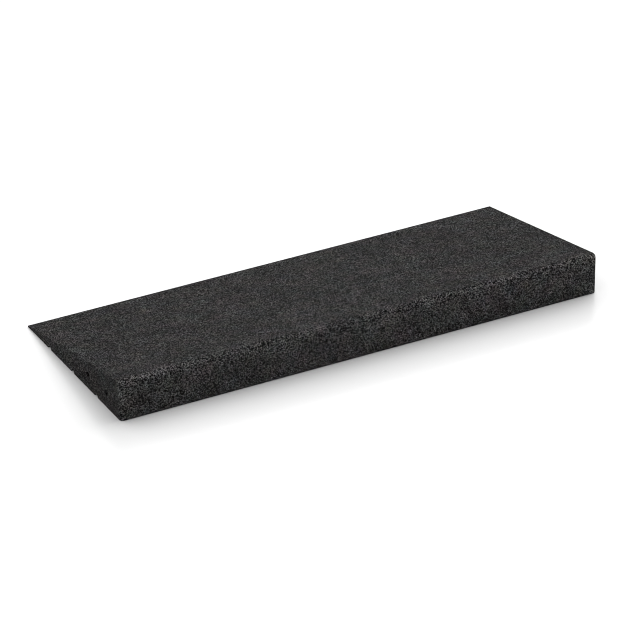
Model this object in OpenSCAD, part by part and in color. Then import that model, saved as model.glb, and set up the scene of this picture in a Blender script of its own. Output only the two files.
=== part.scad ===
// Portable threshold ramp moulded from bonded rubber granulate.
// Millimetres, +Z up. The origin is on the floor under the middle of the ramp.
// +X runs along the step and +Y runs from the tall face down to the thin lip.

/* [Ramp] */
// Length along the step, from end face to end face
ramp_length = 750; // [500:10:1000]
// Depth from the tall face to the thin lip
ramp_depth = 300; // [300:5:450]
// Overall height, at the crest above the tall face
ramp_height = 60; // [55:1:85]
// Thickness of the thin lip
lip_height = 2.5; // [2:0.5:6]
// Radius of the long top edge above the tall face
crest_radius = 10; // [4:0.5:15]
// Radius of the two upright corners of the tall face
corner_radius = 6; // [4:0.5:15]

/* [Drainage channels] */
// Number of channels along the underside
channel_count = 3; // [1:1:3]
// Radius of each half-round channel
channel_radius = 5; // [3:0.5:8]
// Distance from the tall face to the first channel
first_channel = 77.5; // [60:0.5:85]
// Spacing of the channels
channel_pitch = 75.5; // [60:0.5:76]

/* [Dowel bores] */
// Diameter of the bores in the end faces
bore_diameter = 8; // [6:0.5:10]
// Depth of each bore
bore_depth = 62; // [62:1:100]
// Height of the bores above the floor
bore_height = 23; // [14:1:26]
// Distance from the tall face to the first bore
first_bore = 44; // [30:1:60]
// Spacing of the two bores in one end face
bore_spacing = 58; // [40:1:60]

/* [Dowels] */
// Length of a dowel, which goes half into each of two ramps
dowel_length = 60; // [40:1:60]
// Radial clearance between a dowel and its bore
dowel_clearance = 0.05; // [0.02:0.01:0.1]
// Distance that a stored dowel's end lies inside the end face
dowel_recess = 1; // [0.5:0.5:2]
// Number of ribs on each half of a dowel
rib_count = 4; // [2:1:5]
// Depth of the grooves between the ribs
rib_depth = 0.5; // [0.2:0.1:0.8]

/* [Hidden] */
$fn = 96;
overlap = 1;                                   // how far a cutter runs past the face it cuts
tall_y = -ramp_depth / 2;
lip_y = ramp_depth / 2;
end_x = ramp_length / 2;
// The slope runs from the lip's top edge to touch the crest's round edge
crest_y = tall_y + crest_radius;
crest_z = ramp_height - crest_radius;
lip_to_crest = [lip_y - crest_y, crest_z - lip_height];
slope = atan2(lip_to_crest[1], lip_to_crest[0]) + asin(crest_radius / norm(lip_to_crest));
bore_ys = [for (i = [0, 1]) tall_y + first_bore + i * bore_spacing];
channel_ys = [for (i = [0:channel_count - 1]) tall_y + first_channel + i * channel_pitch];
dowel_radius = bore_diameter / 2 - dowel_clearance;
dowel_chamfer = 1.2;
collar_length = 8;                             // plain band round a dowel's middle

// Cross-section of the ramp in (y, z): a wedge with a round crest above the tall face
module ramp_section() {
    polygon([
        [tall_y, 0],
        [lip_y, 0],
        [lip_y, lip_height],
        [crest_y + crest_radius * sin(slope), crest_z + crest_radius * cos(slope)],
        [tall_y, crest_z]
    ]);
    translate([crest_y, crest_z]) circle(r = crest_radius);
}

// Outline of the ramp from above, with the two corners of the tall face rounded
module ramp_outline() {
    polygon([
        [-end_x, lip_y],
        [-end_x, tall_y + corner_radius],
        [-end_x + corner_radius, tall_y],
        [end_x - corner_radius, tall_y],
        [end_x, tall_y + corner_radius],
        [end_x, lip_y]
    ]);
    for (side = [-1, 1])
        translate([side * (end_x - corner_radius), tall_y + corner_radius]) circle(r = corner_radius);
}

// A half-round water channel along the whole underside
module channel(y) {
    translate([0, y, 0]) rotate([0, 90, 0])
        cylinder(r = channel_radius, h = ramp_length + 2 * overlap, center = true);
}

// A blind bore in the end face on one side, -1 or 1
module end_bore(side, y) {
    translate([side * end_x, y, bore_height]) rotate([0, -90 * side, 0]) translate([0, 0, -overlap])
        cylinder(d = bore_diameter, h = bore_depth + overlap);
}

module ramp_block() {
    color("#3a3938") difference() {
        intersection() {
            rotate([90, 0, 90])
                linear_extrude(height = ramp_length + 2 * overlap, center = true) ramp_section();
            translate([0, 0, -overlap])
                linear_extrude(height = ramp_height + 2 * overlap) ramp_outline();
        }
        for (y = channel_ys) channel(y);
        for (side = [-1, 1], y = bore_ys) end_bore(side, y);
    }
}

// A ribbed pin along +X from the origin, with bevelled ends and a plain collar at its middle
module dowel() {
    ribbed_length = (dowel_length - collar_length) / 2 - dowel_chamfer;
    rib_pitch = ribbed_length / rib_count;
    rib_length = 0.6 * rib_pitch;
    core_radius = dowel_radius - rib_depth;
    rotate([0, 90, 0]) {
        cylinder(r = core_radius, h = dowel_length);
        translate([0, 0, (dowel_length - collar_length) / 2]) cylinder(r = dowel_radius, h = collar_length);
        for (i = [0:rib_count - 1], far = [0, 1]) {
            start = dowel_chamfer + i * rib_pitch;
            translate([0, 0, far ? dowel_length - start - rib_length : start])
                cylinder(r = dowel_radius, h = rib_length);
        }
        // bevels that lead each end into its bore
        cylinder(r1 = core_radius, r2 = dowel_radius, h = dowel_chamfer);
        translate([0, 0, dowel_length - dowel_chamfer])
            cylinder(r1 = dowel_radius, r2 = core_radius, h = dowel_chamfer);
    }
}

// A dowel stored in the +X end's bore at y
module stored_dowel(y) {
    translate([end_x - dowel_recess - dowel_length, y, bore_height]) dowel();
}

module dowel_near_tall_face() {
    color("#1d1d1f") stored_dowel(bore_ys[0]);
}

module dowel_near_lip() {
    color("#1d1d1f") stored_dowel(bore_ys[1]);
}

ramp_block();
dowel_near_tall_face();
dowel_near_lip();
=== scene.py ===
import math

import bpy
import numpy as np
from mathutils import Matrix, Vector
from mathutils.geometry import delaunay_2d_cdt


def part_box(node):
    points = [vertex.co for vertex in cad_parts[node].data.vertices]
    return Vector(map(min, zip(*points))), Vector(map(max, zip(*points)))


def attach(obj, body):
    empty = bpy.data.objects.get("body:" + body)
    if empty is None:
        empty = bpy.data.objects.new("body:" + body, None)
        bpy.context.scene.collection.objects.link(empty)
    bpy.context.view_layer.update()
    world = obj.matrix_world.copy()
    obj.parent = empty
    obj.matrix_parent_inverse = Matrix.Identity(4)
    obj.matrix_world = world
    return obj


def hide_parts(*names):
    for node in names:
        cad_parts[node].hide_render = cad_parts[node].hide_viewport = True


MM = 0.001
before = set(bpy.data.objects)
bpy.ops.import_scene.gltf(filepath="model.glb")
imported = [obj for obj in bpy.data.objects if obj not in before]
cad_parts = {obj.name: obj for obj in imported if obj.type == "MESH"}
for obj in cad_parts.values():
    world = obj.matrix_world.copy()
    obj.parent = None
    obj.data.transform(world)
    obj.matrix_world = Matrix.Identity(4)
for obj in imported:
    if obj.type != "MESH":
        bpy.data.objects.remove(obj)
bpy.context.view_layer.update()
rng = np.random.default_rng(7)

# ---------------------------------------------------------------- sizes, in millimetres
lo, hi = (np.array(v, float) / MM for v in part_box("ramp_block"))
END_X = hi[0]
TALL_Y, LIP_Y = lo[1], hi[1]
TOP_Z = hi[2]
LIP_Z = 2.5
CREST_R = 10.0
CORNER_R = 6.0
EDGE_R = 0.9              # slight rounding where the end faces meet the other faces
CHANNEL_R = 5.0
CHANNEL_YS = [TALL_Y + 77.5 + 75.5 * i for i in range(3)]
BORE_R, BORE_DEPTH, BORE_Z = 4.0, 62.0, 23.0
BORE_YS = [TALL_Y + 44.0, TALL_Y + 102.0]
MOUTH_R = BORE_R + 0.3    # the mouth of each bore is slightly rounded
# How much wider than the bore, and how deep, each ring of vertices down a bore is
BORE_RINGS = (
    (0.09, 0.09),
    (0.0, 0.3),
    (0.0, 3.0),
    (0.0, 8.0),
    (0.0, 20.0),
    (0.0, 40.0),
    (0.0, BORE_DEPTH),
)
DOWELS = ("dowel_near_tall_face", "dowel_near_lip")

CREST_Y, CREST_Z = TALL_Y + CREST_R, TOP_Z - CREST_R        # centre of the crest's arc
rise, run = CREST_Z - LIP_Z, LIP_Y - CREST_Y
SLOPE = math.atan2(rise, run) + math.asin(CREST_R / math.hypot(run, rise))
TOUCH_Y = CREST_Y + CREST_R * math.sin(SLOPE)               # where the slope meets the arc

GRID = 1.3                # spacing of the mesh on the faces that are seen
GRID_UNDER = 4.0          # and on the underside
END_GRID = 1.08 * GRID    # and inside an end face
END_GAP = 1.5             # free band between an end face's edge and its inner vertices
BORE_GAP = 1.2            # and round its bores
JITTER = 0.32             # the most that a vertex is moved off the grid, in grid steps
END_JITTER = 0.4          # and in an end face, in millimetres
JOIN_Y = TALL_Y + 20.0    # rounded corners change only the part of a section on the tall side of this
FIRST_EVEN = 7.2          # how far inside the end faces the even stations begin
FAR_APART = 3.5           # a vertex whose two neighbours are further apart than this keeps its corner
LIP_BAND = 12.0           # the end face's edge is rounded less and less over this width, up to the lip
LEAST_ROUND = 0.35        # and this share of it is left at the lip
BORE_SIDES = 26
SKIN = 0.3                # vertices this close to the underside or a channel belong to it

# Each kind of surface: how open the granulate is, the relief in millimetres, and how pale it is. How pale
# each face is makes up for the light that falls on it, so it carries painted light and shade.
TOP_OPEN, TOP_RELIEF, TOP_TONE = 0.0, 0.20, 0.71
TALL_OPEN, TALL_RELIEF, TALL_TONE = 1.0, 0.16, 1.12
UNDER_OPEN, UNDER_RELIEF, UNDER_TONE = 0.7, 0.50, 1.30
END_LOOK = (0.9, 0.45, 0.80)
# the bores' mouths, walls and bottoms are darker and darker inwards: painted shade in the bores
MOUTH_LOOK = (0.9, 0.10, 0.60)
WALL_LOOK = (0.9, 0.0, 0.32)
TIP_LOOK = (0.9, 0.0, 0.12)
# A painted highlight makes the crest paler, strongest just before the arc, and painted shade makes the tall
# face darker low down
CREST_HIGHLIGHT_GAIN, CREST_HIGHLIGHT_AT, CREST_HIGHLIGHT_WIDTH = 0.19, 1.0, 8.0
LOW_TONE, HIGH_TONE = 0.88, 1.12


def surface_z(y):
    """Height of the walking surface, with the round crest."""
    y = np.asarray(y, float)
    z = LIP_Z + (LIP_Y - y) * math.tan(SLOPE)
    arc = CREST_Z + np.sqrt(np.maximum(CREST_R**2 - (y - CREST_Y) ** 2, 0))
    return np.where(y < TOUCH_Y, arc, z)


# ---------------------------------------------------------------- the moulding's mesh
def resample(line, n=None, step=None):
    """Evenly spaced points along a polyline, ends included: n of them, or one about every step."""
    line = np.asarray(line, float)
    along = np.concatenate([[0], np.cumsum(np.hypot(*np.diff(line, axis=0).T))])
    if n is None:
        n = max(2, int(round(along[-1] / step)) + 1)
    t = np.linspace(0, along[-1], n)
    return np.stack([np.interp(t, along, line[:, 0]), np.interp(t, along, line[:, 1])], 1)


def tall_side(inset):
    """A section's part on the tall side of JOIN_Y: the walking surface, crest, tall face and underside."""
    wall = TALL_Y + inset
    ys = np.linspace(JOIN_Y, wall, 400)
    over = np.stack([ys, surface_z(ys)], 1)
    under = np.array([[wall, 0.0], [JOIN_Y, 0.0]])
    return np.concatenate([over, under])


def underside():
    """The section's underside from JOIN_Y to the lip, up and down over each channel."""
    pts = []
    at = JOIN_Y
    for cy in CHANNEL_YS:
        pts.append(resample([[at, 0], [cy - CHANNEL_R, 0]], step=GRID_UNDER)[:-1])
        a = np.linspace(math.pi, 0, 15)
        pts.append(np.stack([cy + CHANNEL_R * np.cos(a), CHANNEL_R * np.sin(a)], 1)[:-1])
        at = cy + CHANNEL_R
    pts.append(resample([[at, 0], [LIP_Y, 0]], step=GRID_UNDER))
    return np.concatenate(pts)


slope_part = resample([[LIP_Y, LIP_Z], [JOIN_Y, float(surface_z(JOIN_Y))]], step=GRID)
under_part = underside()
n_tall = len(resample(tall_side(0.0), step=GRID))


def section(d):
    """The closed section at a distance d inside an end face, anticlockwise in (y, z)."""
    inset = CORNER_R - math.sqrt(max(CORNER_R**2 - max(CORNER_R - d, 0.0) ** 2, 0.0))
    tall = resample(tall_side(inset), n=n_tall)
    pts = np.concatenate([slope_part[:-1], tall, under_part[1:-1], [[LIP_Y, 0.0]]])
    pts = np.concatenate([pts, resample([[LIP_Y, 0.0], [LIP_Y, LIP_Z]], n=4)[1:-1]])
    # take the sharpness off the corners
    soft = 0.25 * np.roll(pts, 1, 0) + 0.5 * pts + 0.25 * np.roll(pts, -1, 0)
    keep = np.hypot(*(np.roll(pts, 1, 0) - np.roll(pts, -1, 0)).T) > FAR_APART
    soft[keep] = pts[keep]
    # and round off the edge of the end face
    if d < EDGE_R:
        tangent = np.roll(soft, -1, 0) - np.roll(soft, 1, 0)
        tangent /= np.maximum(np.hypot(*tangent.T), 1e-9)[:, None]
        inward = np.stack([-tangent[:, 1], tangent[:, 0]], 1)
        from_lip = (LIP_Y - soft[:, 0]) / LIP_BAND
        share = np.clip(LEAST_ROUND + (1.0 - LEAST_ROUND) * from_lip, LEAST_ROUND, 1.0)[:, None]
        soft = soft + inward * share * (EDGE_R - math.sqrt(EDGE_R**2 - (EDGE_R - d) ** 2))
    return soft


# Stations along the ramp: close together within the rounded corners, then evenly spaced
near_end = [0.0, 0.12, 0.4, 0.9, 1.6, 2.5, 3.6, 4.7, 5.9]
half = END_X - FIRST_EVEN
inner = np.linspace(-half, half, int(round(2 * half / GRID)) + 1)
stations = [(-END_X + d, d) for d in near_end] + [(x, CORNER_R) for x in inner]
stations += [(END_X - d, d) for d in reversed(near_end)]
n_st = len(stations)
plain = section(CORNER_R)
n_sec = len(plain)
sections = [section(d) if d < CORNER_R else plain for _, d in stations]

co = np.zeros((n_st, n_sec, 3))
for i, ((x, d), sec) in enumerate(zip(stations, sections)):
    co[i, :, 0] = x
    co[i, :, 1:] = sec

# The vertices are moved about along the surface, so that no rows show in the granulate
prev, nxt = np.roll(plain, 1, 0), np.roll(plain, -1, 0)
chord = nxt - prev
length = np.hypot(*chord.T)
straight = np.hypot(*(prev + nxt - 2 * plain).T) < 0.02
tangent = chord / length[:, None]
shift = rng.uniform(-JITTER, JITTER, (n_st, n_sec)) * np.where(straight, np.minimum(length / 2, GRID), 0)
inside = np.array([d >= CORNER_R for _, d in stations])
shift[~inside] = 0
co[:, :, 1] += shift * tangent[:, 0]
co[:, :, 2] += shift * tangent[:, 1]
x_shift = rng.uniform(-JITTER, JITTER, (n_st, n_sec)) * GRID
x_shift[~inside] = 0
co[:, :, 0] += x_shift

base = np.arange(n_st * n_sec).reshape(n_st, n_sec)
a, b = base[:-1], base[1:]
quads = np.stack([a, np.roll(a, -1, 1), np.roll(b, -1, 1), b], -1).reshape(-1, 4)

# The look of each point of a section; steep goes from 0 on the slope to 1 on the tall face
y, z = plain.T
on_under = z < SKIN
for cy in CHANNEL_YS:
    on_under |= np.hypot(y - cy, z) < CHANNEL_R + SKIN
on_tall = ~on_under & (y <= CREST_Y + 1.0)
tilt = np.arccos(np.clip((z - CREST_Z) / CREST_R, 0, 1))
steep = np.where(on_tall, np.clip((tilt - SLOPE) / (math.pi / 2 - SLOPE), 0, 1), 0.0)
# the granulate is fully open from about two thirds of the way round the crest
open_sec = TOP_OPEN + (TALL_OPEN - TOP_OPEN) * np.clip(1.6 * steep, 0, 1)
relief_sec = np.where(on_under, UNDER_RELIEF, TOP_RELIEF + (TALL_RELIEF - TOP_RELIEF) * open_sec)
relief_sec[y > LIP_Y - 3.0] = TOP_RELIEF
open_sec = np.where(on_under, UNDER_OPEN, open_sec)
# painted light: the tall face is made paler to make up for the light it lacks, rising round the crest
tone_sec = np.where(on_under, UNDER_TONE, TOP_TONE + (TALL_TONE - TOP_TONE) * steep**0.35)
# how far along the surface from TOUCH_Y, less than 0 round the crest
from_touch = np.where(steep > 0, -CREST_R * (tilt - SLOPE), np.abs(y - TOUCH_Y))
# a painted highlight along the crest, which makes it paler
crest_highlight = np.where(on_under, 0.0, np.exp(-((from_touch - CREST_HIGHLIGHT_AT) / CREST_HIGHLIGHT_WIDTH) ** 2))
tone_sec = tone_sec * (1.0 + CREST_HIGHLIGHT_GAIN * crest_highlight)
# painted shade: the tall face is darker towards the floor and paler towards the crest
tall_painted_shade = LOW_TONE + (HIGH_TONE - LOW_TONE) * np.clip(z / CREST_Z, 0, 1)
tone_sec = np.where(on_tall, tone_sec * tall_painted_shade, tone_sec)

verts = [co.reshape(-1, 3)]
looks = {
    "openness": [np.tile(open_sec, n_st)],
    "relief": [np.tile(relief_sec, n_st)],
    "tone": [np.tile(tone_sec, n_st)],
}
tris = []
bore_quads = []


def add(points, look):
    """Adds vertices that all have one look, and gives their numbers."""
    first = sum(len(v) for v in verts)
    verts.append(np.asarray(points, float))
    for values, value in zip(looks.values(), look):
        values.append(np.full(len(points), value))
    return np.arange(first, first + len(points))


def circle(by, radius):
    """A ring of points (y, z) round the axis of the bore at by."""
    turn = np.linspace(0, 2 * math.pi, BORE_SIDES, endpoint=False)
    return np.stack([by + radius * np.cos(turn), BORE_Z + radius * np.sin(turn)], 1)


def at_x(x, points):
    return np.column_stack([np.full(len(points), x), points])


def end_cap(side):
    """An end face with its two bores, joined to the last section on that side."""
    ring = base[0] if side < 0 else base[-1]
    outline = sections[0] if side < 0 else sections[-1]
    x = side * END_X
    mouths = [circle(by, MOUTH_R) for by in BORE_YS]
    across, upward = np.arange(TALL_Y + CORNER_R, LIP_Y, END_GRID), np.arange(0, TOP_Z, END_GRID)
    gy, gz = np.meshgrid(across, upward)
    pts = np.stack([gy.ravel(), gz.ravel()], 1) + rng.uniform(-END_JITTER, END_JITTER, (gy.size, 2))
    ok = (pts[:, 0] > TALL_Y + CORNER_R + END_GAP) & (pts[:, 0] < LIP_Y - END_GAP) & (pts[:, 1] > END_GAP)
    ok &= (surface_z(pts[:, 0]) - pts[:, 1]) * math.cos(SLOPE) > END_GAP
    for cy in CHANNEL_YS:
        ok &= np.hypot(pts[:, 0] - cy, pts[:, 1]) > CHANNEL_R + END_GAP
    for by in BORE_YS:
        ok &= np.hypot(pts[:, 0] - by, pts[:, 1] - BORE_Z) > BORE_R + BORE_GAP
    pts = pts[ok]
    flat = np.concatenate([outline] + mouths + [pts])
    # the outline and the bores' mouths are edges of the triangles
    edges = []
    first = 0
    for loop in [outline] + mouths:
        n = len(loop)
        edges += [(first + i, first + (i + 1) % n) for i in range(n)]
        first += n
    out = delaunay_2d_cdt([Vector(p) for p in flat], edges, [], 1, 1e-6)
    source = [o[0] for o in out[3]]
    mouth_ids = [add(at_x(x, m), MOUTH_LOOK) for m in mouths]
    ids = np.concatenate([ring] + mouth_ids + [add(at_x(x, pts), END_LOOK)])
    for f in out[2]:
        f = [source[i] for i in f]
        c = flat[f].mean(0)
        if any(np.hypot(c[0] - by, c[1] - BORE_Z) < MOUTH_R for by in BORE_YS):
            continue
        p, q, r = flat[f]
        turn = (q[0] - p[0]) * (r[1] - p[1]) - (q[1] - p[1]) * (r[0] - p[0])
        if (turn > 0) != (side > 0):
            f = f[::-1]
        tris.append([int(ids[i]) for i in f])
    # the bores: a slightly rounded mouth, the wall, and a flat bottom, each darker than the last as painted
    # shade
    for last, by in zip(mouth_ids, BORE_YS):
        for wider, depth in BORE_RINGS:
            new = add(at_x(x - side * depth, circle(by, BORE_R + wider)), WALL_LOOK)
            for i in range(BORE_SIDES):
                j = (i + 1) % BORE_SIDES
                quad = [last[i], last[j], new[j], new[i]]
                bore_quads.append(quad if side < 0 else quad[::-1])
            last = new
        tip = add([[x - side * BORE_DEPTH, by, BORE_Z]], TIP_LOOK)[0]
        for i in range(BORE_SIDES):
            tri = [int(last[i]), int(last[(i + 1) % BORE_SIDES]), int(tip)]
            tris.append(tri if side < 0 else tri[::-1])


end_cap(-1)
end_cap(1)

vertices = np.concatenate(verts) * MM
mesh = bpy.data.meshes.new("ramp_moulding")
all_quads = np.concatenate([quads, np.array(bore_quads)])
loops = np.concatenate([all_quads.ravel(), np.array(tris).ravel()]).astype(np.int32)
starts = np.concatenate([
    np.arange(len(all_quads)) * 4,
    len(all_quads) * 4 + np.arange(len(tris)) * 3,
]).astype(np.int32)
mesh.vertices.add(len(vertices))
mesh.vertices.foreach_set("co", vertices.astype(np.float32).ravel())
mesh.loops.add(len(loops))
mesh.loops.foreach_set("vertex_index", loops)
mesh.polygons.add(len(starts))
mesh.polygons.foreach_set("loop_start", starts)
mesh.update(calc_edges=True)
mesh.validate()
for name, values in looks.items():
    layer = mesh.attributes.new(name, "FLOAT", "POINT")
    layer.data.foreach_set("value", np.concatenate(values).astype(np.float32))
ramp = bpy.data.objects.new("ramp_moulding", mesh)
bpy.context.scene.collection.objects.link(ramp)


# ---------------------------------------------------------------- node helpers
class Tree:
    """Short calls for building the same maths in a shader or a geometry node tree."""

    def __init__(self, tree):
        self.t = tree

    def node(self, kind, **props):
        n = self.t.nodes.new(kind)
        for k, v in props.items():
            setattr(n, k, v)
        return n

    def put(self, socket, value):
        """Links a socket to an output, or sets it to a number or colour."""
        if hasattr(value, "is_output"):
            self.t.links.new(value, socket)
        elif value is not None:
            socket.default_value = value

    def math(self, op, a, b=None, c=None, clamp=False):
        n = self.node("ShaderNodeMath", operation=op, use_clamp=clamp)
        for s, v in zip(n.inputs, (a, b, c)):
            self.put(s, v)
        return n.outputs[0]

    def vec(self, op, a, b=None, c=None, scale=None):
        n = self.node("ShaderNodeVectorMath", operation=op)
        self.put(n.inputs[0], a)
        self.put(n.inputs[1], b)
        self.put(n.inputs[2], c)
        if scale is not None:
            self.put(n.inputs["Scale"], scale)
        return n.outputs["Value"] if op in ("DOT_PRODUCT", "LENGTH", "DISTANCE") else n.outputs["Vector"]

    def ramp(self, value, a, b, c=0.0, d=1.0, smooth=True):
        n = self.node("ShaderNodeMapRange", interpolation_type="SMOOTHSTEP" if smooth else "LINEAR")
        for s, v in zip(n.inputs[:5], (value, a, b, c, d)):
            self.put(s, v)
        return n.outputs[0]

    def mix(self, t, a, b):
        n = self.node("ShaderNodeMix", data_type="FLOAT")
        self.put(n.inputs[0], t)
        self.put(n.inputs[2], a)
        self.put(n.inputs[3], b)
        return n.outputs[0]

    def mix_rgb(self, t, a, b):
        n = self.node("ShaderNodeMix", data_type="RGBA")
        self.put(n.inputs[0], t)
        self.put(n.inputs[6], a)
        self.put(n.inputs[7], b)
        return n.outputs[2]

    def noise(self, p, scale, detail, rough=0.5):
        n = self.node("ShaderNodeTexNoise")
        self.put(n.inputs["Vector"], p)
        self.put(n.inputs["Scale"], scale)
        self.put(n.inputs["Detail"], detail)
        self.put(n.inputs["Roughness"], rough)
        return n

    def voronoi(self, p, scale, feature="F1"):
        n = self.node("ShaderNodeTexVoronoi", feature=feature)
        self.put(n.inputs["Vector"], p)
        self.put(n.inputs["Scale"], scale)
        return n

    def in_mm(self, p):
        return self.vec("SCALE", p, scale=1 / MM)

    def centred(self, colour):
        """A random colour as a vector with a mean of 0."""
        return self.vec("SUBTRACT", colour, (0.5, 0.5, 0.5))


CHIP = 2.4                # mean size of the largest chips, in millimetres
GRANULE = 1.25            # of the granules
CRUMB = 0.95              # and of the crumbs between them
RED, GREEN = (1.0, 0.0, 0.0), (0.0, 1.0, 0.0)


def cells(k, p, size, openness):
    """Granules of one size: their height, the depth of the gaps, and each one's shade, depth and colour."""
    near = k.voronoi(p, 1 / size)
    edge = k.voronoi(p, 1 / size, "DISTANCE_TO_EDGE").outputs["Distance"]
    colour = near.outputs["Color"]
    shade = k.vec("DOT_PRODUCT", colour, RED)
    sunk = k.vec("DOT_PRODUCT", colour, GREEN)
    # each granule's face is tilted its own way
    local = k.vec("SCALE", k.vec("SUBTRACT", p, near.outputs["Position"]), scale=1 / size)
    tilt = k.vec("DOT_PRODUCT", local, k.centred(colour))
    gap = k.ramp(edge, 0.0, 0.26, 1.0, 0.0)
    # the gaps are open in some places and filled in others, and here and there a granule is missing
    patch = k.noise(p, 0.9 / size, 2.0, 0.6).outputs["Fac"]
    patchy = k.ramp(patch, k.mix(openness, 0.50, 0.40), k.mix(openness, 0.64, 0.56))
    missing = k.ramp(sunk, k.mix(openness, 0.89, 0.83), k.mix(openness, 0.94, 0.9))
    missing = k.math("MULTIPLY", missing, k.math("MULTIPLY_ADD", gap, -0.6, 0.8))
    gaps = k.math("MULTIPLY", k.math("MULTIPLY", gap, 0.9), patchy)
    deep = k.math("MAXIMUM", gaps, missing)
    down = k.math("MULTIPLY_ADD", deep, 0.5, k.math("MULTIPLY", sunk, k.mix(openness, 0.15, 0.3)))
    down = k.math("MULTIPLY_ADD", gap, 0.08, down)
    height = k.math("SUBTRACT", 1.0, k.math("MULTIPLY_ADD", tilt, 0.35, down))
    return {"height": height, "deep": deep, "shade": shade, "sunk": sunk, "colour": colour}


def wobbled(k, p_mm):
    """Bent coordinates, so that no granule has straight sides."""
    wobble = k.noise(p_mm, 0.8, 1.0).outputs["Color"]
    return k.vec("ADD", p_mm, k.vec("SCALE", k.centred(wobble), scale=0.5))


# ---------------------------------------------------------------- relief of the granulate, in the mesh
def relieve(ob):
    """Presses the gaps between the chips into the mesh, as deep as its relief attribute says."""
    tree = bpy.data.node_groups.new("granulate_relief", "GeometryNodeTree")
    tree.interface.new_socket("Geometry", in_out="INPUT", socket_type="NodeSocketGeometry")
    tree.interface.new_socket("Geometry", in_out="OUTPUT", socket_type="NodeSocketGeometry")
    k = Tree(tree)
    start = k.node("NodeGroupInput")
    end = k.node("NodeGroupOutput")

    def attribute(name):
        n = k.node("GeometryNodeInputNamedAttribute", data_type="FLOAT")
        n.inputs["Name"].default_value = name
        return n.outputs["Attribute"]

    p_mm = k.in_mm(k.node("GeometryNodeInputPosition").outputs[0])
    chips = cells(k, wobbled(k, p_mm), CHIP, attribute("openness"))
    down = k.math("SUBTRACT", 1.0, chips["height"], clamp=True)
    depth = k.math("MULTIPLY", k.math("MULTIPLY", down, attribute("relief")), -MM)
    offset = k.vec("SCALE", k.node("GeometryNodeInputNormal").outputs[0], scale=depth)
    move = k.node("GeometryNodeSetPosition")
    k.put(move.inputs["Geometry"], start.outputs[0])
    k.put(move.inputs["Offset"], offset)
    k.put(end.inputs[0], move.outputs[0])
    mod = ob.modifiers.new("relief", "NODES")
    mod.node_group = tree
    seen = ob.evaluated_get(bpy.context.evaluated_depsgraph_get())
    new = bpy.data.meshes.new_from_object(seen)
    new.name = ob.data.name + "_relieved"
    ob.modifiers.remove(mod)
    old, ob.data = ob.data, new
    bpy.data.meshes.remove(old)
    bpy.data.node_groups.remove(tree)
    ob.data.polygons.foreach_set("use_smooth", [True] * len(ob.data.polygons))


relieve(ramp)


# ---------------------------------------------------------------- materials
RUBBER = (0.0330, 0.0324, 0.0323)
GRANULE_TINT = (0.0014, 0.0010, 0.0015)
STAIN_TINT = (0.017, 0.009, 0.012)
PLASTIC_DARK, PLASTIC_PALE = (0.012, 0.012, 0.013, 1), (0.02, 0.02, 0.022, 1)


def material(name):
    m = bpy.data.materials.new(name)
    m.use_nodes = True
    m.node_tree.nodes.clear()
    k = Tree(m.node_tree)
    out = k.node("ShaderNodeOutputMaterial")
    bsdf = k.node("ShaderNodeBsdfPrincipled")
    k.put(out.inputs["Surface"], bsdf.outputs[0])
    return m, k, bsdf


def add_bump(k, bsdf, height, strength, depth_mm):
    bump = k.node("ShaderNodeBump")
    bump.inputs["Strength"].default_value = strength
    bump.inputs["Distance"].default_value = depth_mm * MM
    k.put(bump.inputs["Height"], height)
    k.put(bsdf.inputs["Normal"], bump.outputs[0])


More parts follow.
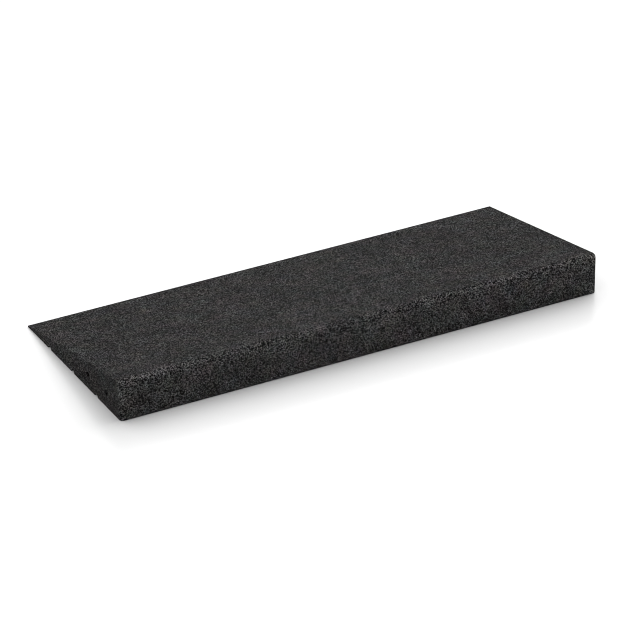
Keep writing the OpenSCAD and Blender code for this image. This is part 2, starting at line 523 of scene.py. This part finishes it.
def granulate_material():
    """Matte bonded granulate in three sizes, by the openness and tone of each part of the surface; the tone
    carries painted light and shade.
    """
    m, k, bsdf = material("granulate_rubber")
    p_mm = k.in_mm(k.node("ShaderNodeTexCoord").outputs["Object"])
    openness = k.node("ShaderNodeAttribute", attribute_name="openness").outputs["Fac"]
    p = wobbled(k, p_mm)
    chips = cells(k, p, CHIP, openness)
    grain = cells(k, p, GRANULE, openness)
    crumb = k.voronoi(p, 1 / CRUMB)
    crumb_shade = k.vec("DOT_PRODUCT", crumb.outputs["Color"], RED)
    # each granule has its own grey: where it is pressed flat fewer are pale, but those are paler. The
    # granules that lit leaves out are nearly black, painted shade as of pits.
    lit = k.ramp(grain["shade"], k.mix(openness, 0.40, 0.22), k.mix(openness, 0.52, 0.37))
    tone = k.math("MULTIPLY_ADD", grain["shade"], k.mix(openness, 3.2, 1.6), k.mix(openness, -0.4, 0.6))
    tone = k.math("MULTIPLY_ADD", tone, lit, 0.05)
    # the crumbs vary too, and some of them are nearly black: painted shade of small pits
    tone = k.math("MULTIPLY", tone, k.math("MULTIPLY_ADD", crumb_shade, 2.2, 0.05))
    tone = k.math("MULTIPLY", tone, k.ramp(crumb_shade, 0.18, 0.28, 0.04, 1.0))
    tone = k.math("MULTIPLY", tone, k.math("MULTIPLY_ADD", chips["shade"], 0.25, 0.875))
    # the gaps and the holes of missing granules are painted dark: painted shade in the hollows
    for layer, dark in ((grain, 1.0), (chips, 0.15)):
        tone = k.math("MULTIPLY", tone, k.math("MULTIPLY_ADD", layer["deep"], -dark, 1.0))
    # the tone of each part of the surface: paler faces where less light falls as painted light, a painted
    # highlight on the crest, and painted shade low on the tall face and in the bores
    region = k.node("ShaderNodeAttribute", attribute_name="tone").outputs["Fac"]
    tone = k.math("MULTIPLY", tone, region)
    # broad paler and darker patches
    cloud = k.noise(p_mm, 0.02, 5.0, 0.85).outputs["Fac"]
    tone = k.math("MULTIPLY", tone, k.ramp(cloud, 0.35, 0.65, 0.68, 1.32, smooth=False))
    # a faint tint for each granule, and faint broad stains
    tint = k.centred(grain["colour"])
    tint = k.vec("MULTIPLY_ADD", tint, GRANULE_TINT, RUBBER)
    stain = k.centred(k.noise(p_mm, 0.035, 4.0, 0.7).outputs["Color"])
    tint = k.vec("MULTIPLY_ADD", stain, STAIN_TINT, tint)
    k.put(bsdf.inputs["Base Color"], k.vec("SCALE", tint, scale=tone))
    k.put(bsdf.inputs["Roughness"], k.ramp(grain["sunk"], 0.0, 1.0, 0.6, 0.9, smooth=False))
    bsdf.inputs["Specular IOR Level"].default_value = 0.03
    height = k.math("MULTIPLY_ADD", chips["height"], 0.35, grain["height"])
    height = k.math("MULTIPLY_ADD", crumb.outputs["Distance"], -0.25, height)
    add_bump(k, bsdf, height, 0.5, 0.5)
    return m


def dowel_material():
    """Satin plastic, with flow marks along the dowel and fine scuffs."""
    m, k, bsdf = material("dowel_plastic")
    p_mm = k.in_mm(k.node("ShaderNodeTexCoord").outputs["Object"])
    flow = k.noise(k.vec("MULTIPLY", p_mm, (0.25, 1.0, 1.0)), 0.8, 3.0, 0.6).outputs["Fac"]
    k.put(bsdf.inputs["Base Color"], k.mix_rgb(flow, PLASTIC_DARK, PLASTIC_PALE))
    k.put(bsdf.inputs["Roughness"], k.ramp(flow, 0.3, 0.7, 0.34, 0.5))
    bsdf.inputs["Specular IOR Level"].default_value = 0.5
    scuff = k.noise(p_mm, 6.0, 2.0, 0.6).outputs["Fac"]
    add_bump(k, bsdf, scuff, 0.25, 0.05)
    return m


rubber = granulate_material()
ramp.data.materials.clear()
ramp.data.materials.append(rubber)
plastic = dowel_material()
for name in DOWELS:
    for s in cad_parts[name].material_slots:
        s.material = plastic

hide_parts("ramp_block")
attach(ramp, "ramp")

# ---------------------------------------------------------------- floor, light and camera
WHITE = (1, 1, 1, 1)
FLOOR_RADIUS, FLOOR_SIDES = 40.0, 96
FLOOR_GREY = (0.865, 0.865, 0.865, 1)
SURROUND_LIGHT = 0.49     # what the surround sheds, less than the white that is seen behind the ramp

floor_paint, _, bsdf = material("studio_floor")
bsdf.inputs["Base Color"].default_value = FLOOR_GREY
bsdf.inputs["Roughness"].default_value = 0.25
bsdf.inputs["Specular IOR Level"].default_value = 0.4
floor_mesh = bpy.data.meshes.new("studio_floor")
turns = np.linspace(0, 2 * math.pi, FLOOR_SIDES, endpoint=False)
rim = [(FLOOR_RADIUS * math.cos(t), FLOOR_RADIUS * math.sin(t), 0.0) for t in turns]
floor_mesh.from_pydata(rim, [], [list(range(FLOOR_SIDES))])
floor_mesh.materials.append(floor_paint)
floor = bpy.data.objects.new("studio_floor", floor_mesh)
bpy.context.scene.collection.objects.link(floor)

world = bpy.data.worlds.new("studio")
bpy.context.scene.world = world
world.use_nodes = True
world.node_tree.nodes.clear()
k = Tree(world.node_tree)
pick = k.node("ShaderNodeMixShader")
ray = k.node("ShaderNodeLightPath").outputs
k.put(pick.inputs[0], k.math("MAXIMUM", ray["Is Camera Ray"], ray["Is Glossy Ray"]))
for slot, strength in ((1, SURROUND_LIGHT), (2, 1.0)):
    backdrop = k.node("ShaderNodeBackground")
    backdrop.inputs["Color"].default_value = WHITE
    backdrop.inputs["Strength"].default_value = strength
    k.put(pick.inputs[slot], backdrop.outputs[0])
k.put(k.node("ShaderNodeOutputWorld").inputs["Surface"], pick.outputs[0])


def sun(name, azimuth, elevation, strength, angle):
    """A broad soft light. At azimuth 0 it stands on the tall face's side, and at 90 on the +X side."""
    lamp = bpy.data.lights.new(name, "SUN")
    lamp.energy = strength
    lamp.angle = math.radians(angle)
    ob = bpy.data.objects.new(name, lamp)
    az, el = math.radians(azimuth), math.radians(elevation)
    to_light = Vector((math.sin(az) * math.cos(el), -math.cos(az) * math.cos(el), math.sin(el)))
    ob.rotation_euler = to_light.to_track_quat("Z", "Y").to_euler()
    bpy.context.scene.collection.objects.link(ob)
    return ob


sun("back_softbox", 123, 56, 1.96, 66)
sun("back_left_softbox", -154, 43, 0.56, 46)
sun("left_softbox", -86, 54, 0.32, 46)
# The front fill lights only the ramp and its dowels, so it casts no shadow on the floor
front_fill = sun("front_fill", -35, 25, 1.1, 60)
front_fill.light_linking.receiver_collection = bpy.data.collections.new("lit_by_front_fill")
for ob in [ramp] + [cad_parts[name] for name in DOWELS]:
    front_fill.light_linking.receiver_collection.objects.link(ob)

bpy.context.scene.cycles.filter_width = 1.0
view = bpy.context.scene.view_settings
view.view_transform = "Standard"
view.look = "None"
view.exposure = 0.0
view.gamma = 1.0

# The camera looks down at the tall face and the open end face
AZ, EL, ROLL = math.radians(-27.93), math.radians(29.03), math.radians(-0.46)
DISTANCE = 5.724
LENS_MM, SENSOR_MM = 232.17, 36.0
CENTRE = np.array([0, 0, 0.030])
AIM_RIGHT, AIM_DOWN = 0.00176, 0.03355      # how far to the right of and below CENTRE it aims, in metres
back = np.array([math.sin(AZ) * math.cos(EL), -math.cos(AZ) * math.cos(EL), math.sin(EL)])
right = np.array([math.cos(AZ), math.sin(AZ), 0.0])
up = np.cross(back, right)
c, s = math.cos(ROLL), math.sin(ROLL)
right, up = c * right + s * up, -s * right + c * up
place = CENTRE + right * AIM_RIGHT - up * AIM_DOWN + back * DISTANCE
camera_data = bpy.data.cameras.new("camera")
camera_data.sensor_width = SENSOR_MM
camera_data.lens = LENS_MM
camera_data.clip_end = 200
camera = bpy.data.objects.new("camera", camera_data)
camera.matrix_world = Matrix((
    (right[0], up[0], back[0], place[0]),
    (right[1], up[1], back[1], place[1]),
    (right[2], up[2], back[2], place[2]),
    (0, 0, 0, 1),
))
bpy.context.scene.collection.objects.link(camera)
bpy.context.scene.camera = camera
